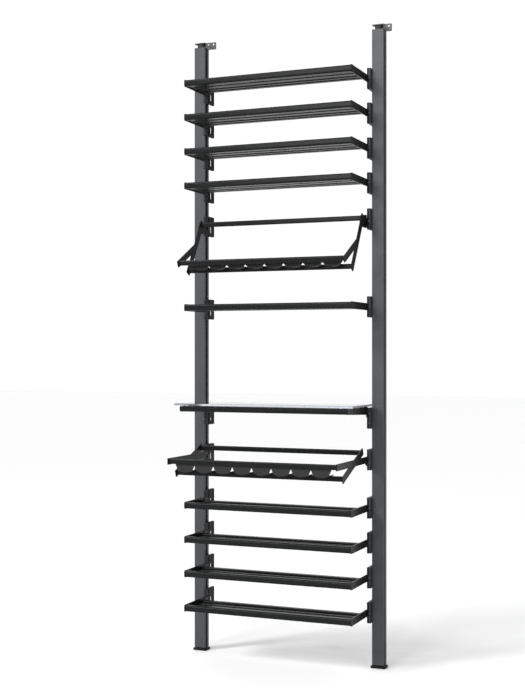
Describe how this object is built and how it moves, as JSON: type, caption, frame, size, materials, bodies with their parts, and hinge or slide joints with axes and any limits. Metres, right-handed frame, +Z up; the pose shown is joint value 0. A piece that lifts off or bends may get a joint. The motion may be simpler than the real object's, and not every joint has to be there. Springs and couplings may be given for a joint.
{
  "type": "wine rack",
  "caption": "Tall wall-fixed wine display rack: two slotted uprights carry adjustable slatted bottle shelves, tilting display racks and a glass shelf.",
  "frame": {"origin": "middle of the bounding box in X and Y, on the floor under the feet", "axes": "+Z up, the rack's front towards -Y, the wall behind it towards +Y"},
  "size_m": [0.8308, 0.48, 2.546],
  "materials": {
    "upright_coat": "satin anthracite powder coat",
    "shelf_coat": "satin black powder coat",
    "bracket_steel": "satin dark powder coat",
    "black_steel": "black oxide steel",
    "black_plastic": "matte black",
    "foot_plastic": "matte black",
    "clear_rubber": "soft translucent",
    "pane_glass": "clear tempered glass with ground edges"
  },
  "bodies": {
    "frame": {"left_upright": "upright_coat", "right_upright": "upright_coat", "slot_plugs": "black_plastic", "top_adjusters": "black_steel", "top_bolts": "black_steel", "left_wall_bracket": "bracket_steel", "right_wall_bracket": "bracket_steel"},
    "left_foot": {"left_foot": "foot_plastic"},
    "right_foot": {"right_foot": "foot_plastic"},
    "shelf_01": {"shelf_01_rails": "shelf_coat", "shelf_01_slats": "shelf_coat", "shelf_01_end_plates": "shelf_coat", "shelf_01_brackets": "bracket_steel"},
    "shelf_02": {"shelf_02_rails": "shelf_coat", "shelf_02_slats": "shelf_coat", "shelf_02_end_plates": "shelf_coat", "shelf_02_brackets": "bracket_steel"},
    "shelf_03": {"shelf_03_rails": "shelf_coat", "shelf_03_slats": "shelf_coat", "shelf_03_end_plates": "shelf_coat", "shelf_03_brackets": "bracket_steel"},
    "shelf_04": {"shelf_04_rails": "shelf_coat", "shelf_04_slats": "shelf_coat", "shelf_04_end_plates": "shelf_coat", "shelf_04_brackets": "bracket_steel"},
    "shelf_06": {"shelf_06_rails": "shelf_coat", "shelf_06_slats": "shelf_coat", "shelf_06_end_plates": "shelf_coat", "shelf_06_brackets": "bracket_steel"},
    "shelf_09": {"shelf_09_rails": "shelf_coat", "shelf_09_slats": "shelf_coat", "shelf_09_end_plates": "shelf_coat", "shelf_09_brackets": "bracket_steel"},
    "shelf_10": {"shelf_10_rails": "shelf_coat", "shelf_10_slats": "shelf_coat", "shelf_10_end_plates": "shelf_coat", "shelf_10_brackets": "bracket_steel"},
    "shelf_11": {"shelf_11_rails": "shelf_coat", "shelf_11_slats": "shelf_coat", "shelf_11_end_plates": "shelf_coat", "shelf_11_brackets": "bracket_steel"},
    "shelf_12": {"shelf_12_rails": "shelf_coat", "shelf_12_slats": "shelf_coat", "shelf_12_end_plates": "shelf_coat", "shelf_12_brackets": "bracket_steel"},
    "glass_shelf": {"glass_shelf_rails": "shelf_coat", "glass_shelf_arms": "shelf_coat", "glass_shelf_pads": "clear_rubber", "glass_pane": "pane_glass", "glass_shelf_brackets": "bracket_steel"},
    "upper_display_carrier": {"upper_display_brackets": "bracket_steel"},
    "upper_display": {"upper_display_side_frames": "shelf_coat", "upper_display_pivot_pins": "black_steel", "upper_display_rails": "shelf_coat", "upper_display_cradles": "shelf_coat"},
    "lower_display_carrier": {"lower_display_brackets": "bracket_steel"},
    "lower_display": {"lower_display_side_frames": "shelf_coat", "lower_display_pivot_pins": "black_steel", "lower_display_rails": "shelf_coat", "lower_display_cradles": "shelf_coat"}
  },
  "joints": [
    {"name": "shelf_01_height", "type": "slide", "parent": "frame", "child": "shelf_01", "axis": [0, 0, 1], "range_m": [-0.015, 0.015]},
    {"name": "shelf_02_height", "type": "slide", "parent": "frame", "child": "shelf_02", "axis": [0, 0, 1], "range_m": [-0.015, 0.015]},
    {"name": "shelf_03_height", "type": "slide", "parent": "frame", "child": "shelf_03", "axis": [0, 0, 1], "range_m": [-0.015, 0.015]},
    {"name": "shelf_04_height", "type": "slide", "parent": "frame", "child": "shelf_04", "axis": [0, 0, 1], "range_m": [-0.015, 0.015]},
    {"name": "shelf_06_height", "type": "slide", "parent": "frame", "child": "shelf_06", "axis": [0, 0, 1], "range_m": [-0.015, 0.015]},
    {"name": "shelf_09_height", "type": "slide", "parent": "frame", "child": "shelf_09", "axis": [0, 0, 1], "range_m": [-0.015, 0.015]},
    {"name": "shelf_10_height", "type": "slide", "parent": "frame", "child": "shelf_10", "axis": [0, 0, 1], "range_m": [-0.015, 0.015]},
    {"name": "shelf_11_height", "type": "slide", "parent": "frame", "child": "shelf_11", "axis": [0, 0, 1], "range_m": [-0.015, 0.015]},
    {"name": "shelf_12_height", "type": "slide", "parent": "frame", "child": "shelf_12", "axis": [0, 0, 1], "range_m": [-0.015, 0.015]},
    {"name": "glass_shelf_height", "type": "slide", "parent": "frame", "child": "glass_shelf", "axis": [0, 0, 1], "range_m": [-0.015, 0.015]},
    {"name": "upper_display_height", "type": "slide", "parent": "frame", "child": "upper_display_carrier", "axis": [0, 0, 1], "range_m": [-0.015, 0.015]},
    {"name": "upper_display_tilt", "type": "hinge", "parent": "upper_display_carrier", "child": "upper_display", "pos_m": [0, 0.118, 1.7471], "axis": [1, 0, 0], "range_deg": [-35, 0]},
    {"name": "lower_display_height", "type": "slide", "parent": "frame", "child": "lower_display_carrier", "axis": [0, 0, 1], "range_m": [-0.015, 0.015]},
    {"name": "lower_display_tilt", "type": "hinge", "parent": "lower_display_carrier", "child": "lower_display", "pos_m": [0, 0.118, 0.8056], "axis": [1, 0, 0], "range_deg": [0, 20]},
    {"name": "left_foot_level", "type": "slide", "parent": "frame", "child": "left_foot", "axis": [0, 0, 1], "range_m": [-0.02, 0]},
    {"name": "right_foot_level", "type": "slide", "parent": "frame", "child": "right_foot", "axis": [0, 0, 1], "range_m": [-0.02, 0]}
  ]
}
